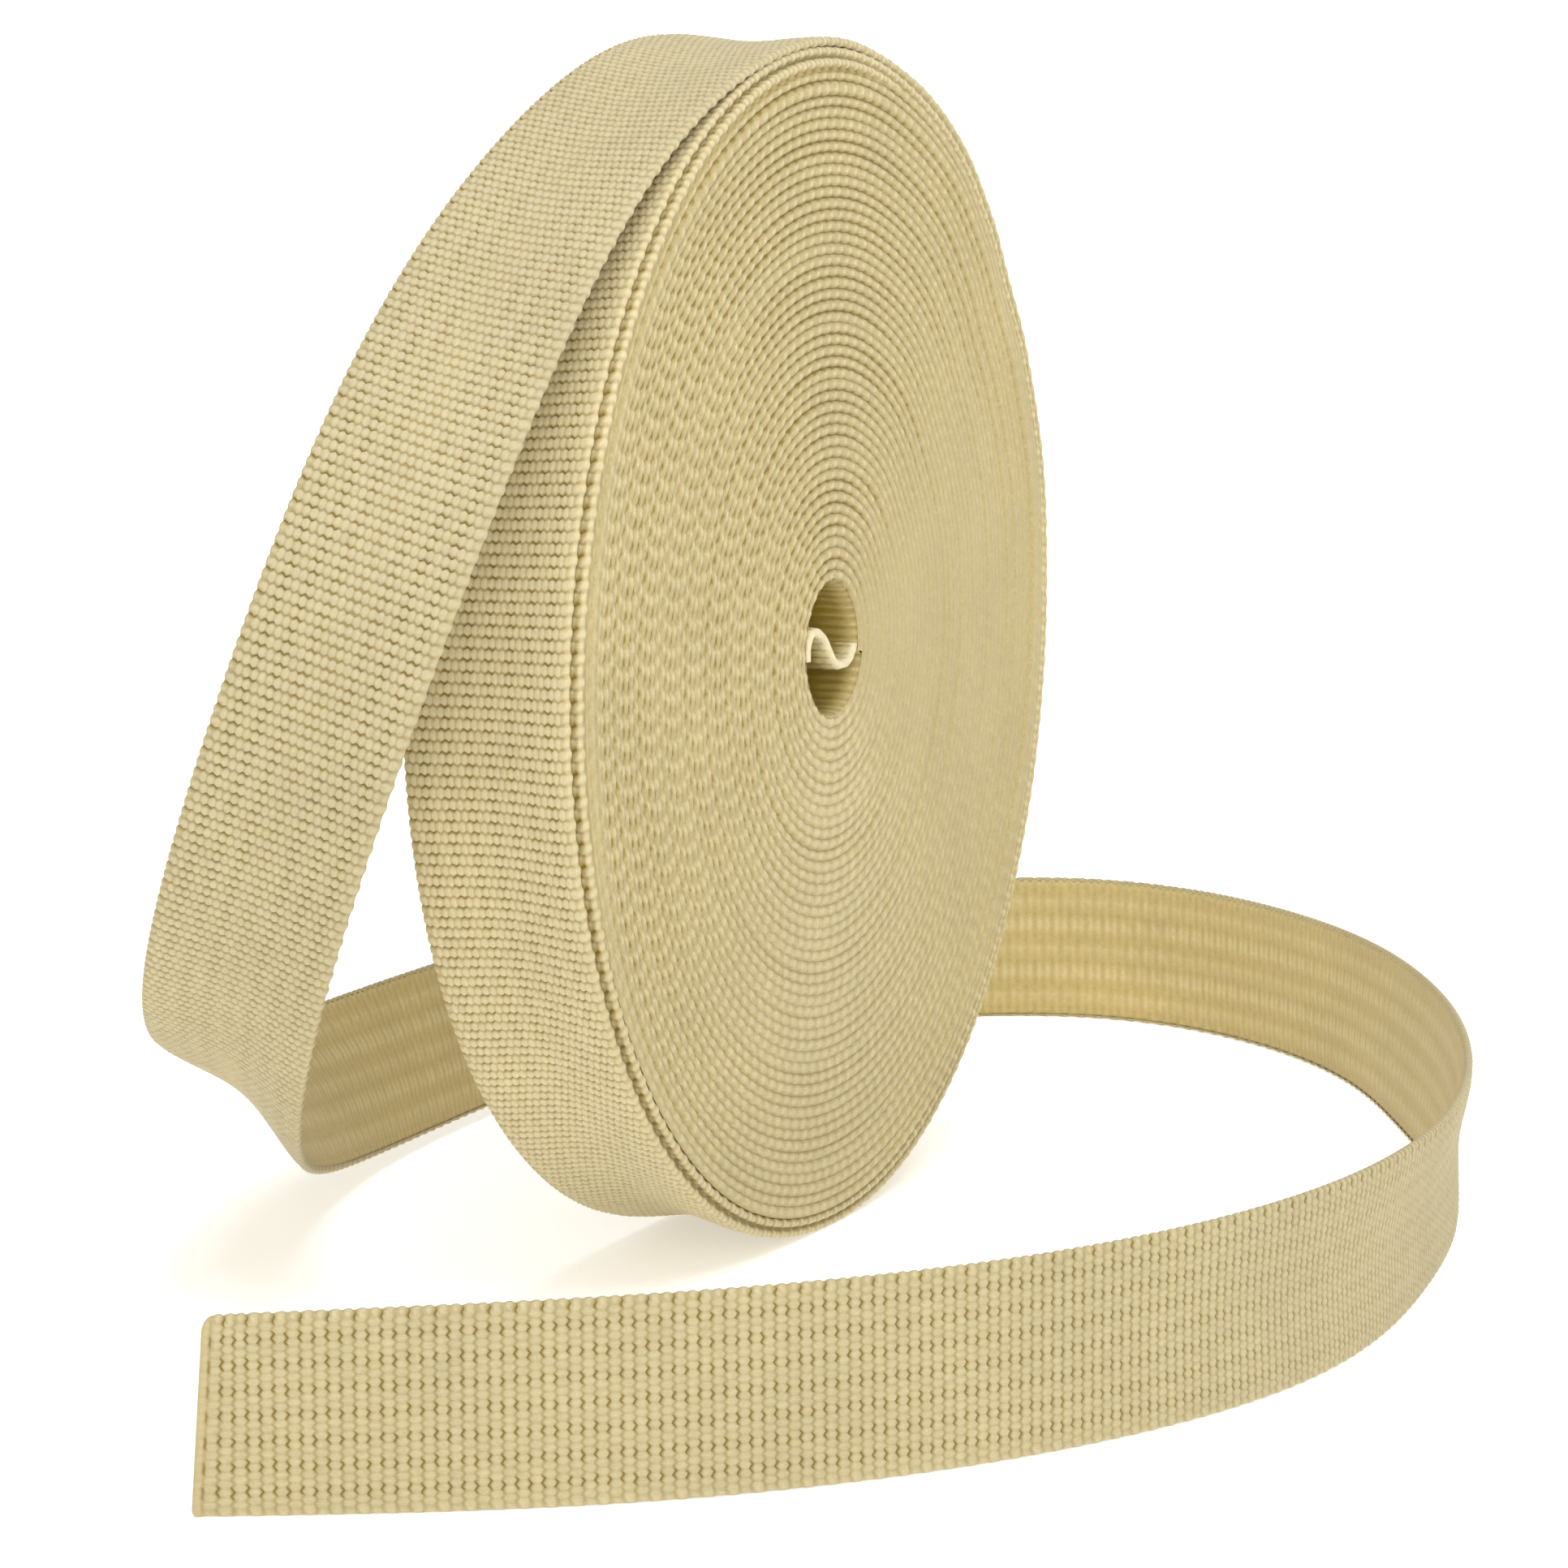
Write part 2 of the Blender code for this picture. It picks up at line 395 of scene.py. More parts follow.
def stand_out(turned):
    """How far the tape is shifted towards the near side at each place."""
    dish = np.interp(share_of(turned), [d.share for d in DISH], [d.out for d in DISH])
    lap = np.interp(turned / 360, [x.turn for x in LAPS], [x.out for x in LAPS])
    inner = ease(1.2, 3, turned / 360)
    wander = 0.13 * drift(turned / 140, 3) + 0.10 * drift(turned / 37, 5)
    return dish * inner + lap + wander * inner


def outside_radius(turned, across):
    """Radius of the tape's outer face; across is 1 at the near edge, -1 at the far."""
    a = np.radians(turned)
    share = share_of(turned)
    taper = TAPER * np.minimum(1.0, 1 - np.cos(a)) * share
    return (
        R_OUT
        - PITCH * turned / 360
        + loose_at(turned)
        - dip_at(a) * hollow(np.clip(across, -1, 1)) * share
        - taper * (1 - across) / 2
        + swell_at(turned) * share * (1 + across) / 2
    )


def on_roll(turned, x, r):
    """Points of the roll; its lowest few millimetres are pressed flat."""
    a = np.radians(turned)
    z = AXIS_Z + r * np.cos(a)
    z = z + 0.78 * np.exp(-(z + FLAT) / 5.0)
    return np.stack([np.broadcast_to(x, z.shape), r * np.sin(a) + 0 * z, z], -1)


# ---------------------------------------------------------------- mesh making


def grid(name, points, uv, shade_and_tone, material, wrap=False, flip=False, caps=False, melt=None):
    """A mesh of quads from a rows x columns array of points in millimetres."""
    rows, columns = points.shape[:2]
    index = np.arange(rows * columns).reshape(rows, columns)
    if wrap:
        index = np.concatenate([index, index[:, :1]], 1)
    quads = np.stack(
        [index[:-1, :-1], index[1:, :-1], index[1:, 1:], index[:-1, 1:]], -1
    ).reshape(-1, 4)
    if flip:
        quads = quads[:, ::-1]
    loops = quads.reshape(-1)
    starts = np.arange(len(quads)) * 4
    totals = np.full(len(quads), 4)
    if caps:
        first, last = index[0, :columns], index[-1, :columns]
        if flip:
            first, last = first[::-1], last[::-1]
        loops = np.concatenate([loops, first, last[::-1]])
        starts = np.concatenate([starts, [4 * len(quads), 4 * len(quads) + columns]])
        totals = np.concatenate([totals, [columns, columns]])
    shifted = points * MM
    shifted = shifted - np.array([REST_X * MM, 0, 0])
    mesh = bpy.data.meshes.new(name)
    mesh.vertices.add(rows * columns)
    mesh.vertices.foreach_set("co", shifted.reshape(-1).astype(np.float32))
    mesh.loops.add(len(loops))
    mesh.loops.foreach_set("vertex_index", loops.astype(np.int32))
    mesh.polygons.add(len(starts))
    mesh.polygons.foreach_set("loop_start", starts.astype(np.int32))
    mesh.polygons.foreach_set("loop_total", totals.astype(np.int32))
    mesh.polygons.foreach_set("use_smooth", np.ones(len(starts), bool))
    layer = mesh.uv_layers.new(name="tape")
    flat = np.stack([np.broadcast_to(c, (rows, columns)) for c in uv], -1)
    layer.data.foreach_set(
        "uv", flat.reshape(-1, 2)[loops].reshape(-1).astype(np.float32)
    )
    # the first attribute is painted light and shade with some random tone, the second the melt of the cut end
    for label, values in (("shade_and_tone", shade_and_tone), ("melt", melt)):
        if values is None:
            continue
        attribute = mesh.attributes.new(label, "FLOAT", "POINT")
        filled = np.broadcast_to(values, (rows, columns)).reshape(-1)
        attribute.data.foreach_set("value", filled.astype(np.float32))
    mesh.update(calc_edges=True)
    mesh.validate()
    mesh.materials.append(material)
    obj = bpy.data.objects.new(name, mesh)
    bpy.context.scene.collection.objects.link(obj)
    return obj


# ---------------------------------------------------------------- materials


def cloth(name, light, base, dark, bump=0.5, free_end_shade=1.0, yarn=(1.1, 9.0), streaks=0.09):
    """Polypropylene yarn: fine filaments along u, a painted highlight on the tops of the weave and painted
    shade in its gaps, faintly mottled.
    """
    material = bpy.data.materials.new(name)
    material.use_nodes = True
    tree = material.node_tree
    nodes, links = tree.nodes, tree.links
    shader = nodes["Principled BSDF"]

    def new(kind, **inputs):
        node = nodes.new(kind)
        for key, value in inputs.items():
            node.inputs[key.replace("_", " ")].default_value = value
        return node

    def mix(kind, amount, a, b):
        node = nodes.new("ShaderNodeMix")
        node.data_type = "RGBA"
        node.blend_type = kind
        for socket, value in ((node.inputs[0], amount), (node.inputs[6], a), (node.inputs[7], b)):
            if isinstance(value, bpy.types.NodeSocket):
                links.new(value, socket)
            else:
                socket.default_value = value
        return node.outputs[2]

    def sized(value, low, high, to_low, to_high):
        node = nodes.new("ShaderNodeMapRange")
        node.inputs["From Min"].default_value = low
        node.inputs["From Max"].default_value = high
        node.inputs["To Min"].default_value = to_low
        node.inputs["To Max"].default_value = to_high
        links.new(value, node.inputs["Value"])
        return node.outputs["Result"]

    uv = nodes.new("ShaderNodeUVMap")
    uv.uv_map = "tape"
    stretch = nodes.new("ShaderNodeMapping")
    stretch.inputs["Scale"].default_value = (*yarn, 1.0)
    links.new(uv.outputs["UV"], stretch.inputs["Vector"])
    filaments = new("ShaderNodeTexNoise", Scale=1.0, Detail=2.0, Roughness=0.6)
    links.new(stretch.outputs["Vector"], filaments.inputs["Vector"])
    place = nodes.new("ShaderNodeTexCoord")
    blotches = new("ShaderNodeTexNoise", Scale=55.0, Detail=3.0, Roughness=0.6)
    links.new(place.outputs["Object"], blotches.inputs["Vector"])
    grains = new("ShaderNodeTexNoise", Scale=900.0, Detail=2.0, Roughness=0.6)
    links.new(place.outputs["Object"], grains.inputs["Vector"])

    shade_and_tone = nodes.new("ShaderNodeAttribute")
    shade_and_tone.attribute_name = "shade_and_tone"
    melt = nodes.new("ShaderNodeAttribute")
    melt.attribute_name = "melt"

    # painted light and shade: the light colour where the attribute is low (tops of floats and beads), the
    # base partway, the dark colour where it is high (gaps, grooves, undersides)
    ramp = nodes.new("ShaderNodeValToRGB")
    ramp.color_ramp.interpolation = "EASE"
    ramp.color_ramp.elements[0].position = 0.0
    ramp.color_ramp.elements[0].color = (*light, 1)
    ramp.color_ramp.elements[1].position = 1.0
    ramp.color_ramp.elements[1].color = (*dark, 1)
    middle = ramp.color_ramp.elements.new(0.38)
    middle.color = (*base, 1)
    links.new(shade_and_tone.outputs["Fac"], ramp.inputs["Fac"])

    streak = sized(filaments.outputs["Fac"], 0.3, 0.7, 1 - streaks, 1 + 0.9 * streaks)
    patch = sized(blotches.outputs["Fac"], 0.3, 0.7, 0.955, 1.035)
    speck = sized(grains.outputs["Fac"], 0.3, 0.7, 0.95, 1.05)
    joined = nodes.new("ShaderNodeMath")
    joined.operation = "MULTIPLY"
    links.new(streak, joined.inputs[0])
    links.new(patch, joined.inputs[1])
    # painted shade: from u = -150 to u = 140 the colour darkens to the factor given, so the free end is
    # darker than the turns of the roll
    along = nodes.new("ShaderNodeSeparateXYZ")
    links.new(uv.outputs["UV"], along.inputs[0])
    free_end_shading = sized(along.outputs["X"], -150.0, 140.0, 1.0, free_end_shade)
    speckled = nodes.new("ShaderNodeMath")
    speckled.operation = "MULTIPLY"
    links.new(speck, speckled.inputs[0])
    links.new(free_end_shading, speckled.inputs[1])
    joined_2 = nodes.new("ShaderNodeMath")
    joined_2.operation = "MULTIPLY"
    links.new(joined.outputs[0], joined_2.inputs[0])
    links.new(speckled.outputs[0], joined_2.inputs[1])
    tone = nodes.new("ShaderNodeCombineColor")
    for socket in ("Red", "Green", "Blue"):
        links.new(joined_2.outputs[0], tone.inputs[socket])
    colour = mix("MULTIPLY", 1.0, ramp.outputs["Color"], tone.outputs["Color"])
    sealed = mix("MIX", melt.outputs["Fac"], colour, (base[0] * 0.95, base[1] * 0.92, base[2] * 0.85, 1))
    links.new(sealed, shader.inputs["Base Color"])

    matt = sized(filaments.outputs["Fac"], 0.25, 0.75, 0.52, 0.74)
    links.new(matt, shader.inputs["Roughness"])
    shader.inputs["Sheen Weight"].default_value = 0.10
    shader.inputs["Sheen Roughness"].default_value = 0.5
    shader.inputs["Specular IOR Level"].default_value = 0.35

    height = nodes.new("ShaderNodeMath")
    height.operation = "ADD"
    links.new(filaments.outputs["Fac"], height.inputs[0])
    links.new(sized(grains.outputs["Fac"], 0.2, 0.8, 0.0, 0.35), height.inputs[1])
    raised = nodes.new("ShaderNodeBump")
    raised.inputs["Strength"].default_value = bump
    raised.inputs["Distance"].default_value = 0.00012
    links.new(height.outputs[0], raised.inputs["Height"])
    links.new(raised.outputs["Normal"], shader.inputs["Normal"])
    return material


# the outer face of the free end is painted darker than the turns, to 0.83 of their colour: painted shade
OUTER = cloth(
    "woven_face", (0.56, 0.485, 0.29), (0.43, 0.347, 0.16), (0.25, 0.168, 0.018), free_end_shade=0.83
)
INNER = cloth("woven_back", (0.57, 0.475, 0.242), (0.475, 0.37, 0.147), (0.23, 0.152, 0.019), bump=0.7)
SIDE = cloth(
    "wound_edges",
    (0.54, 0.46, 0.258),
    (0.412, 0.333, 0.148),
    (0.24, 0.162, 0.018),
    yarn=(1.7, 4.5),
    streaks=0.14,
)

CORE = cloth("woven_core", (0.60, 0.50, 0.26), (0.47, 0.37, 0.13), (0.29, 0.20, 0.012), bump=0.7)
# the inner end is given lighter colours than the rest of the webbing: painted light on the tab in the shade
# of the hole
TAB = cloth("woven_inner_end_painted_light", (0.68, 0.605, 0.385), (0.52, 0.44, 0.22), (0.30, 0.21, 0.03))

free = FreeEnd()
turns = Turns()


# ---------------------------------------------------------------- skins of the outer face

PHI = np.radians([-80, -48, -18, 12, 42, 72])
TUCK = radians(-120)  # on the roll the edge is tucked in under itself


def skin_columns(step, side_a=True, side_b=True, low=-END * 11, high=END * 11, tuck=False):
    """Columns across the skin: v of the flat part and the angles of the edges."""
    edge = np.concatenate([[TUCK], PHI]) if tuck else PHI
    count = int(round((high - low) / step))
    face = np.linspace(low, high, count + 1)
    v = list(face)
    phi = [np.nan] * len(face)
    side = [0] * len(face)
    if side_a:
        v = [-99.0] * len(edge) + v
        phi = list(edge) + phi
        side = [-1] * len(edge) + side
    if side_b:
        v = v + [99.0] * len(edge)
        phi = phi + list(edge[::-1])
        side = side + [1] * len(edge)
    return np.array(v), np.array(phi), np.array(side)


def skin_section(u, columns, soft=False):
    """v, height n, cavity and slide of the skin for each u and column."""
    base, phi, side = columns
    u = u[:, None]
    lean = np.where(side == 0, 0.0, np.cos(np.nan_to_num(phi)))[None, :]
    rib = np.cos(2 * pi * u / RIB + 1.1 * lean)  # 1 in the gaps between the ribs
    pair = np.cos(pi * (u / RIB - 0.5) + 0.5 * lean)
    flat = side == 0
    top, dark, slide = weave(u, np.where(flat, base, 0)[None, :])
    if soft:  # only every gap and every crest has a row here
        top, dark = 1 - 0.62 * (1 - top), 0.45 * dark
    n_face = SURFACE - RELIEF * (1 - top)
    # towards the edges the face rounds over
    n_face = n_face - 0.16 * ease(10.9, 11.9, np.abs(base))[None, :]
    out = np.where(flat, 0.0, np.cos(np.nan_to_num(phi)))[None, :]
    up = np.where(flat, 0.0, np.sin(np.nan_to_num(phi)))[None, :]
    below = np.maximum(-up, 0)
    bead_a = EDGE * (1 - 0.07 * (1 + rib)) + 0.08 * pair * (np.maximum(out, 0) + below)
    odd = np.exp(-(((u / RIB - 2 * np.round((u / RIB - 1) / 2) - 1) * RIB / 0.2) ** 2))
    bead_b = EDGE * (1 - 0.15 * (1 + rib)) - 0.10 * odd
    centre = HALF - EDGE
    v = np.where(flat, base[None, :], 0.0)
    v = np.where(side < 0, -(centre + bead_a * out), v)
    v = np.where(side > 0, centre + bead_b * out, v)
    n = np.where(flat, n_face, np.where(side < 0, bead_a * up, bead_b * up))
    # painted shade on the edges: darker in the gaps between the ribs, on the undersides of the beads and in
    # the slanting marks on every second rib at edge B
    edge_a = 0.12 + 0.16 * rib + (0.12 + 0.35 * ((1 - pair) / 2) ** 2) * below
    edge_b = 0.18 + 0.18 * rib + 0.75 * odd * np.sqrt(np.maximum(up, 0)) + 0.15 * below
    shade_and_tone = np.where(flat, dark, np.where(side < 0, edge_a, edge_b))
    # the edge tucked in under itself is painted dark: painted shade
    tucked = np.nan_to_num(phi)[None, :] < radians(-100)
    v = np.where(tucked, side[None, :] * (HALF - 0.6), v)
    n = np.where(tucked, -(PITCH - SURFACE) - 0.45, n)
    shade_and_tone = np.where(tucked, 0.6, shade_and_tone)
    slide = np.where(flat, slide * (1 - ease(11.0, 11.9, -base))[None, :], 0.0)
    slide = np.where(side > 0, -0.34 * odd * np.maximum(up, 0), slide)
    return v + 0 * u, n, shade_and_tone, slide


def close_cut(u, v, n, shade_and_tone):
    """Rounds the corners of the cut and draws its last rows together."""
    left = (free.length - u)[:, None]
    melt = 1 - ease(0.3, 1.9, left + 0.4 * drift(v * 0.9, 11) + 0.0 * n)
    n = n * (1 - 0.22 * melt) + 0.05 * melt * drift(v * 1.7 + 9, 4)
    for corner, sign in ((2.2, 1), (0.9, -1)):
        short = np.clip(corner - left, 0, corner)
        pull = corner - np.sqrt(np.clip(corner**2 - short**2, 0, None))
        limit = HALF - pull
        v = np.where(sign * v > 0, sign * np.minimum(sign * v, limit), v)
    shut = np.sqrt(np.clip(1 - (np.clip(0.5 - left, 0, 0.5) / 0.5) ** 2, 0, 1))
    n = n * shut
    return v, n, np.clip(shade_and_tone * (1 - 0.3 * melt), 0, 1), 0.45 * melt


FINE = (0.0, 0.2, 0.5, 0.8)
COARSE = (0.0, 0.5)


def stations(start, end, shares):
    """The same places on every rib, so that the gaps always fall on a row."""
    ribs = np.arange(np.floor(start / RIB), np.ceil(end / RIB) + 1)
    u = ((ribs[:, None] + np.array(shares)[None, :]) * RIB).reshape(-1)
    return u[(u >= start - 1e-6) & (u <= end + 1e-6)]


def free_skin(name, start, end, per_rib, step, last=False):
    u = stations(start, end, per_rib)
    if last:
        u = np.concatenate([u[u < free.length - 0.6], free.length - np.array([0.5, 0.3, 0.13, 0.03, 0.0])])
    columns = skin_columns(step)
    v, n, shade_and_tone, slide = skin_section(u, columns, len(per_rib) < 3)
    melt = np.zeros_like(n)
    if last:
        v, n, shade_and_tone, melt = close_cut(u, v, n, shade_and_tone)
        slide = slide * ease(0.5, 3, free.length - u)[:, None]
    points = free.place(u, v, n, slide)
    return grid(name, points, (u[:, None], v), shade_and_tone, OUTER, melt=melt)


def roll_points(turned, v, n, slide):
    """Places a tape section on the spiral."""
    t = turned[:, None] - np.degrees(slide / R_OUT)
    x = -v + stand_out(t)
    r = outside_radius(t, -v / HALF) - THICK / 2 + n
    return on_roll(t, x, r)


def rim_skin(name, start, end, per_rib, step, columns=None, join=False, sunk_end=False):
    """start and end are lengths back from the place where the free end leaves."""
    s = -stations(-end, -start, per_rib)[::-1]
    if join:
        s = np.concatenate([[0.0], s[s > 0.05]])
    if columns is None:
        columns = skin_columns(step, tuck=True)
    v, n, shade_and_tone, slide = skin_section(-s, columns, len(per_rib) < 3)
    turned = turns.turned(s)
    if sunk_end:
        v[:, np.nan_to_num(columns[1]) < radians(-100)] = -(HALF - 0.3)
    points = roll_points(turned, v, n, slide)
    if sunk_end:
        # painted shade: dots along edge A where the turn outside covers this one, only where that edge stands
        # out
        beyond = (stand_out(turned) - stand_out(turned - 360))[:, None]
        covered = HALF - 0.1 - beyond - np.abs(v)
        dots = ((1 + np.cos(pi * s / RIB)) / 2)[:, None] ** 1.5
        seam_shade = (0.12 + 0.7 * dots) * ease(0.3, 0.6, beyond)
        shade_and_tone = shade_and_tone + seam_shade * np.exp(-((covered / 0.42) ** 2)) * (v < 0)
        shade_and_tone = np.clip(shade_and_tone, 0, 1)
        points[..., 0] -= 0.8 * ease(end - 12, end, s)[:, None]
    if join:
        meet = free.place(np.array([0.0]), v[:1], n[:1]) - points[:1]
        points = points + meet * (1 - ease(0, 14, s))[:, None, None]
    return grid(name, points, (-s[:, None], v), shade_and_tone, OUTER, flip=True)


# ---------------------------------------------------------------- the wound sides


# line and spots: painted shade along each groove between turns and in its dots; depth and crown: shape; with
# separate values at the top, the bottom, the left and the right
Groove = namedtuple("Groove", "line spots depth crown")
AT_TOP = Groove(0.42, 0.70, 0.36, 0.12)
AT_BOTTOM = Groove(0.16, 0.36, 0.20, 0.10)
AT_LEFT = Groove(0.08, 1.0, 0.20, 0.14)
AT_RIGHT = Groove(0.03, 0.12, 0.08, 0.03)


def groove_at(degrees):
    """The groove outside a turn: open at the top and the bottom, closed at the sides."""
    up, over = np.cos(np.radians(degrees)), np.sin(np.radians(degrees))
    upper, left = up > 0, over < 0
    settled = ease(3.4, 5.5, degrees / 360)
    mood = 1 + 0.34 * drift(degrees / 75, 17) + 0.20 * drift(degrees / 21, 23)
    values = []
    for top, bottom, one, other in zip(AT_TOP, AT_BOTTOM, AT_LEFT, AT_RIGHT):
        high = np.where(upper, top, bottom)
        low = np.where(left, one * (0.25 + 0.75 * settled), other)
        values.append(high * up**2 + low * over**2)
    line, spots, depth, crown = values
    mood = np.clip(mood, 0.55, 1.4)
    return Groove(line * mood, spots * mood, depth * (0.6 + 0.4 * mood), crown)


def wound_side(name, start, end, step, profile, sign, sunk_start=False):
    """One face of the roll as a spiral band: the edges of the turns, side by side.
    Neighbouring turns share their boundary, and each reaches a little below the
    next one there."""
    s = np.arange(start, end, step)
    turned = turns.turned(s)[:, None]
    u = -s[:, None]
    # every bead's dot sits in the groove on its inner side
    outside = -turns.length_to_each(turned - 360)
    x, r, shade_and_tone = [], [], []
    for place, sink, level in profile:  # place is -1 at the outer boundary, 1 at the inner
        key = turned if place < 0 else turned + 360
        groove = groove_at(key)
        own = groove_at(turned)
        phase = pi * (outside if place < 0 else u) / RIB - 0.9 * place
        dots = ((1 - np.cos(phase)) / 2) ** 2.6
        bead = np.cos(pi * u / RIB - 0.7 * place)
        small = np.cos(2 * pi * u / RIB + 0.6)
        low = (1 - place**2) * own.crown * (bead + 0.5 * small)
        boundary = abs(place) > 0.99
        if sign > 0:
            shift = np.minimum(stand_out(key - 360), stand_out(key))
        else:
            shift = np.maximum(stand_out(key - 360), stand_out(key))
        beyond = stand_out(turned)
        shift = shift if boundary else beyond + (shift - beyond) * 0.25 * abs(place)
        dip = sink * groove.depth * (1.5 if boundary else 1 + 0.6 * dots)
        x.append(sign * (HALF - 0.04 - dip + low) + shift)
        outer = outside_radius(turned, np.full((1, 1), float(sign)))
        inner = outside_radius(turned + 360, np.full((1, 1), float(sign)))
        share = (place + 1) / 2
        past = 0.10 * np.sign(place) if boundary else 0.0
        r.append(outer + (inner - outer) * share - past + 0.04 * bead * place * (not boundary))
        # painted light and shade: the right part of the face darker, the bottom lighter, shade in the groove
        # and its dots, and a painted highlight on the crowns of the beads
        tone = 0.22 + 0.10 * np.maximum(np.sin(np.radians(turned)), 0) ** 2
        tone = tone - 0.12 * np.maximum(-np.cos(np.radians(turned)), 0) ** 2
        tone = tone + level * (groove.line + groove.spots * dots) - 1.3 * low
        shade_and_tone.append(tone + 0.04 * drift(u / 1.3, 41 + len(x)))
    x, r = np.concatenate(x, 1), np.concatenate(r, 1)
    if sunk_start:
        x = x - sign * 0.8 * (1 - ease(0, 14, s - start))[:, None]
    shade_and_tone = np.clip(np.concatenate(shade_and_tone, 1), 0, 1)
    points = on_roll(turned + 0 * r, x, r)
    across = np.array([p[0] for p in profile])[None, :]
    return grid(
        name, points, (u + 0 * r, sign * 20 + across * 0.8 + 0 * r), shade_and_tone, SIDE, flip=sign > 0
    )


# columns: place across the turn, how far the groove sinks there, how much of the painted groove shade it
# takes
FINE_EDGE = (
    (-1, 1.0, 1.0),
    (-0.76, 0.30, 0.55),
    (-0.28, 0.02, 0.0),
    (0.28, 0.02, 0.0),
    (0.76, 0.30, 0.65),
    (1, 1.0, 1.0),
)
PLAIN_EDGE = ((-1, 1.0, 1.0), (-0.55, 0.12, 0.2), (0.1, 0.0, 0.0), (0.6, 0.16, 0.2), (1, 1.0, 1.0))


# ---------------------------------------------------------------- build: the free end

VISIBLE = 168 * RIB  # the hanging part, past the low left turn
BEHIND = 349 * RIB  # from here on it comes forward and shows its outer face again

face_hanging = free_skin("face_hanging", 0.0, VISIBLE, FINE, END / 4)
face_behind = free_skin("face_behind", VISIBLE, BEHIND, COARSE, END / 2)
MIDDLE = 480 * RIB
face_curve = free_skin("face_curve", BEHIND, MIDDLE, FINE, END / 4)
face_front = free_skin("face_front", MIDDLE, free.length, FINE, END / 4, last=True)


def free_body():
    """The tape itself under the skins: its inner face, and the core of its edges."""
    u = stations(0.0, free.length - 1.0, COARSE)
    u = np.concatenate([u, free.length - np.array([0.6, 0.3, 0.12, 0.04])])
    inner = np.linspace(11.9, -11.9, 21)
    ring_v = np.concatenate([inner, [-12.1, -12.1, -11.4, -4, 4, 11.4, 12.1, 12.1]])
    ring_n = np.concatenate([0 * inner - 9, [-0.3, 0.12, 0.22, 0.22, 0.22, 0.22, 0.12, -0.3]])
    face = ring_n < -1
    bands = np.cos(2 * pi * (ring_v + 0.3) / 4.2)[None, :]
    ribs = np.cos(2 * pi * u / RIB)[:, None]
    pills = np.cos(2 * pi * (ring_v[None, :] / END + 0.5 * np.round(u / RIB)[:, None]))
    height = 0.07 * bands + 0.05 * ribs + 0.04 * pills
    low = -(SURFACE - 0.12) - height
    low = low + 0.14 * ease(11.0, 11.9, np.abs(ring_v))[None, :]
    n = np.where(face[None, :], low, ring_n[None, :])
    v = ring_v[None, :] + 0 * n
    # the inner face: painted shade, lighter on the raised bands and darker between them, and the ribs and
    # floats as a darker pattern
    shade_and_tone = np.where(face[None, :], 0.30 - 0.16 * bands + 0.15 * ribs + 0.10 * pills, 0.5)
    v, n, shade_and_tone, melt = close_cut(u, v, n, np.clip(shade_and_tone, 0, 1))
    points = free.place(u, v * 0.999, n)
    return grid(
        "free_tape", points, (u[:, None], v), shade_and_tone, INNER, wrap=True, flip=False, caps=True, melt=melt
    )


free_tape = free_body()

# ---------------------------------------------------------------- build: the roll

FIRST = round(turns.length_to(LEAVE + 360 + 2) / RIB) * RIB
HIDDEN = round(turns.length_to(176) / RIB) * RIB
rim_back = rim_skin("rim_back", 0.0, HIDDEN, COARSE, END / 2, join=True)
rim_front = rim_skin("rim_front", HIDDEN, FIRST, FINE, END / 4)

near_start = turns.length_to(LEAVE + 712)
margin = skin_columns(END / 4, side_b=False, high=-END * 7, tuck=True)
second_turn = rim_skin(
    "second_turn", FIRST, near_start + 24, FINE, END / 4, columns=margin, sunk_end=True
)

near_half = turns.length_to(20 * 360)
step = RIB * 0.4
near_outer = wound_side("near_turns_outer", near_start, near_half + step, step, FINE_EDGE, 1, sunk_start=True)
near_inner = wound_side("near_turns_inner", near_half, turns.length, step * 1.15, FINE_EDGE, 1)
far_side = wound_side("far_turns", turns.length_to(LEAVE + 356), turns.length, RIB * 1.25, PLAIN_EDGE, -1)


def core_wall():
    """The inside of the last turn, round the open middle."""
    count = 120
    angle = np.linspace(0, 360, count + 1)[:-1]
    last = turns.degrees[-1] - 360 + angle
    x = np.linspace(HALF + 0.5, -HALF + 0.4, 33)[None, :]
    t = last[:, None]
    r = R_OUT - PITCH * t / 360 - PITCH - 0.15
    u = t * pi / 180 * 10.6
    ribs = np.cos(2 * pi * u / RIB)
    bands = np.cos(2 * pi * x / 4.2)
    r = r + 0.10 * ribs + 0.06 * bands + 0.25 * ease(HALF - 0.6, HALF + 0.5, np.abs(x))
    points = on_roll(t + 0 * x, x + 0 * t, r + 0 * x)
    # painted shade: darker in the gaps between the ribs and deeper into the hole, with bands across
    # alternately lighter and darker
    shade_and_tone = 0.34 + 0.24 * ribs - 0.10 * bands + 0.55 * ease(0.3, 4.5, HALF - x)
    shade_and_tone = np.clip(shade_and_tone, 0, 1)
    closed = np.concatenate([points, points[:1]], 0)
    shade_and_tone = np.concatenate([shade_and_tone, shade_and_tone[:1]], 0)
    u = np.concatenate([u, u[:1] + 2 * pi * 10.6], 0)
    return grid("core_wall", closed, (u, x), shade_and_tone, CORE)


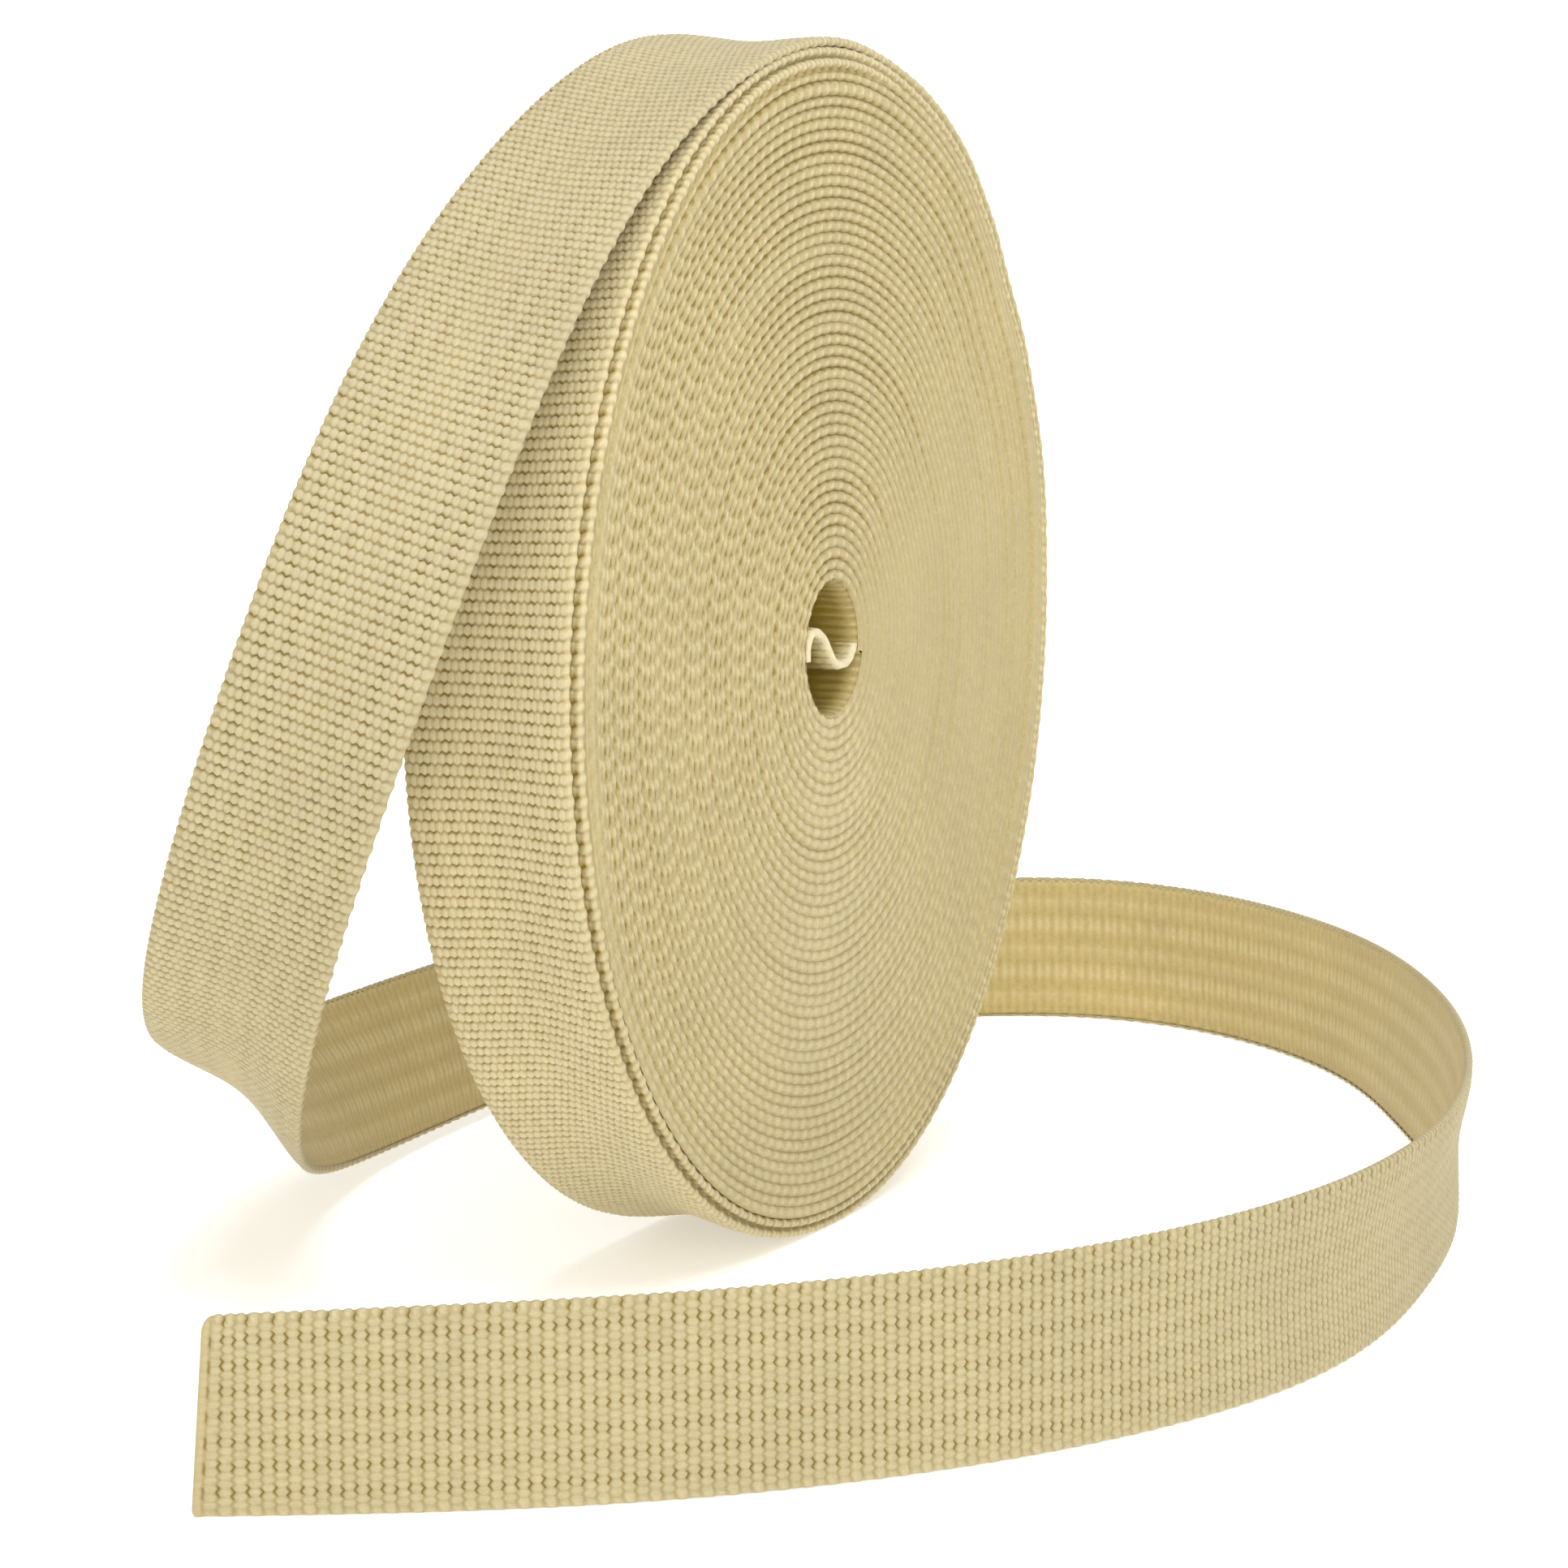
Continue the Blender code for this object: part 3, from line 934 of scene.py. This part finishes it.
def core_tab():
    """The inner end of the tape, folded across the open middle."""
    path = smooth_through([(0, f.y, f.up) for f in CORE_END], 90)
    along = unit(np.gradient(path, axis=0))
    side = np.stack([0 * along[:, 0], -along[:, 2], along[:, 1]], -1)
    steps = np.linalg.norm(np.diff(path, axis=0), axis=1)
    u = np.concatenate([[0], np.cumsum(steps)])
    inner = np.linspace(-11.6, 11.6, 35)
    edge = np.radians([60, 20, -20, -60])
    ring_v = np.concatenate([inner, 11.84 + 0.66 * np.cos(edge), inner[::-1], -11.84 - 0.66 * np.cos(edge)])
    ring_n = np.concatenate([0 * inner + 1, 0.66 * np.sin(edge), 0 * inner - 1, -0.66 * np.sin(edge)])
    top, dark, _ = weave(u[:, None], ring_v[None, :])
    face = np.abs(np.concatenate([0 * inner + 1, 0 * edge, 0 * inner - 1, 0 * edge])) > 0.5
    n = np.where(face[None, :], np.sign(ring_n)[None, :] * (SURFACE - 0.3 * (1 - top)), ring_n[None, :])
    bead = 1 + 0.10 * np.cos(pi * u / RIB)[:, None] * (~face)[None, :]
    shut = np.sqrt(np.clip(1 - (np.clip(0.5 - (u[-1] - u), 0, 0.5) / 0.5) ** 2, 0, 1))[:, None]
    n = n * bead * np.maximum(shut, 0.05)
    # painted shade: darker in the weave's gaps, and all over except along edge A, which lies at the near side
    # of the hole
    shade_and_tone = np.where(face[None, :], dark, 0.0) + 0.75 * ease(0.5, 3.6, ring_v + HALF)[None, :]
    shade_and_tone = np.clip(shade_and_tone, 0, 1)
    points = (
        path[:, None]
        + np.array([1.0, 0, 0]) * (0.55 - ring_v[None, :, None])
        + side[:, None] * n[..., None]
        + np.array([0, 0, AXIS_Z])
    )
    return grid(
        "core_tab", points, (u[:, None], ring_v[None, :]), shade_and_tone, TAB, wrap=True, flip=True, caps=True
    )


wall = core_wall()
tab = core_tab()

# ---------------------------------------------------------------- the pieces, attached to the root body; the CAD's own pieces hidden

PIECES = (
    (face_hanging, "webbing"),
    (face_behind, "webbing"),
    (face_curve, "webbing"),
    (face_front, "webbing"),
    (free_tape, "webbing"),
    (rim_back, "webbing"),
    (rim_front, "webbing"),
    (second_turn, "webbing"),
    (near_outer, "webbing_side"),
    (near_inner, "webbing_side"),
    (far_side, "webbing_side"),
    (wall, "webbing_side"),
    (tab, "webbing"),
)
for piece, finish in PIECES:
    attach(piece, "root")
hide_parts("roll")
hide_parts("loose_end")
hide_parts("core_end")

# ---------------------------------------------------------------- floor, light, camera


def plain(name, colour, roughness, glow, far_glow):
    material = bpy.data.materials.new(name)
    material.use_nodes = True
    shader = material.node_tree.nodes["Principled BSDF"]
    shader.inputs["Base Color"].default_value = (*colour, 1)
    shader.inputs["Roughness"].default_value = roughness
    shader.inputs["Specular IOR Level"].default_value = 0.1
    shader.inputs["Emission Color"].default_value = (1.0, 0.99, 0.97, 1)
    tree = material.node_tree
    place = tree.nodes.new("ShaderNodeTexCoord")
    away = tree.nodes.new("ShaderNodeVectorMath")
    away.operation = "LENGTH"
    tree.links.new(place.outputs["Object"], away.inputs[0])
    fade = tree.nodes.new("ShaderNodeMapRange")
    fade.inputs["From Min"].default_value = 0.25
    fade.inputs["From Max"].default_value = 1.2
    fade.inputs["To Min"].default_value = glow
    fade.inputs["To Max"].default_value = far_glow
    tree.links.new(away.outputs["Value"], fade.inputs["Value"])
    tree.links.new(fade.outputs["Result"], shader.inputs["Emission Strength"])
    return material


mesh = bpy.data.meshes.new("floor")
corners = ((-6, -6), (6, -6), (6, 6), (-6, 6))
mesh.from_pydata(
    [(x, y, 0) for x, y in corners] + [(x, y, 0.8) for x, y in corners],
    [],
    [(0, 1, 2, 3)] + [(i, i + 4, (i + 1) % 4 + 4, (i + 1) % 4) for i in range(4)],
)
# the floor glows: painted light, weaker near the roll, where it lifts the shadows, and stronger farther out
mesh.materials.append(plain("floor", (0.93, 0.915, 0.87), 0.9, 0.40, 0.62))
mesh.materials.append(plain("backdrop", (0.9, 0.9, 0.9), 0.9, 1.0, 1.0))
for wall_face in mesh.polygons[1:]:
    wall_face.material_index = 1
floor = bpy.data.objects.new("floor", mesh)
bpy.context.scene.collection.objects.link(floor)

world = bpy.data.worlds.new("studio")
world.use_nodes = True
world.node_tree.nodes["Background"].inputs["Color"].default_value = (1.0, 1.0, 1.0, 1)
world.node_tree.nodes["Background"].inputs["Strength"].default_value = 0.60
bpy.context.scene.world = world


def soft_light(name, place, aim, size, watts):
    data = bpy.data.lights.new(name, "AREA")
    data.shape = "DISK"
    data.size = size
    data.energy = watts
    lamp = bpy.data.objects.new(name, data)
    place = np.array(place, float)
    back = unit(place - np.array(aim, float))
    right = unit(np.cross([0, 0, 1.0], back))
    top = np.cross(back, right)
    lamp.matrix_world = Matrix(
        [[right[i], top[i], back[i], place[i]] for i in range(3)] + [[0, 0, 0, 1]]
    )
    bpy.context.scene.collection.objects.link(lamp)
    return lamp


soft_light("overhead", (0.32, -0.3, 1.45), (0, 0, 0.05), 1.4, 15)
soft_light("front", (0.72, -1.6, 0.45), (0, 0, 0.08), 1.0, 9.8)
soft_light("side", (1.5, -0.5, 0.1), (0, 0, 0.03), 0.9, 1.8)

YAW, PITCHED, ROLLED = radians(-23.8617), radians(7.9724), radians(-0.1332)
ahead = np.array([np.sin(YAW) * np.cos(PITCHED), np.cos(YAW) * np.cos(PITCHED), -np.sin(PITCHED)])
right = np.array([np.cos(YAW), -np.sin(YAW), 0.0])
upward = np.cross(right, ahead)
right_2 = np.cos(ROLLED) * right + np.sin(ROLLED) * upward
up_2 = -np.sin(ROLLED) * right + np.cos(ROLLED) * upward
spot = (0.294247, -0.678435, 0.168183)
lens = bpy.data.cameras.new("camera")
lens.lens = 119.25
lens.sensor_width = 36
lens.clip_start = 0.01
lens.clip_end = 50
camera = bpy.data.objects.new("camera", lens)
camera.matrix_world = Matrix(
    [[right_2[i], up_2[i], -ahead[i], spot[i]] for i in range(3)] + [[0, 0, 0, 1]]
)
bpy.context.scene.collection.objects.link(camera)
bpy.context.scene.camera = camera
bpy.context.scene.view_settings.view_transform = "Standard"
bpy.context.scene.view_settings.look = "None"

bpy.context.view_layer.update()
count = {p.name: sum(len(f.vertices) - 2 for f in p.data.polygons) for p, _ in PIECES}
print("triangles", count, sum(count.values()))
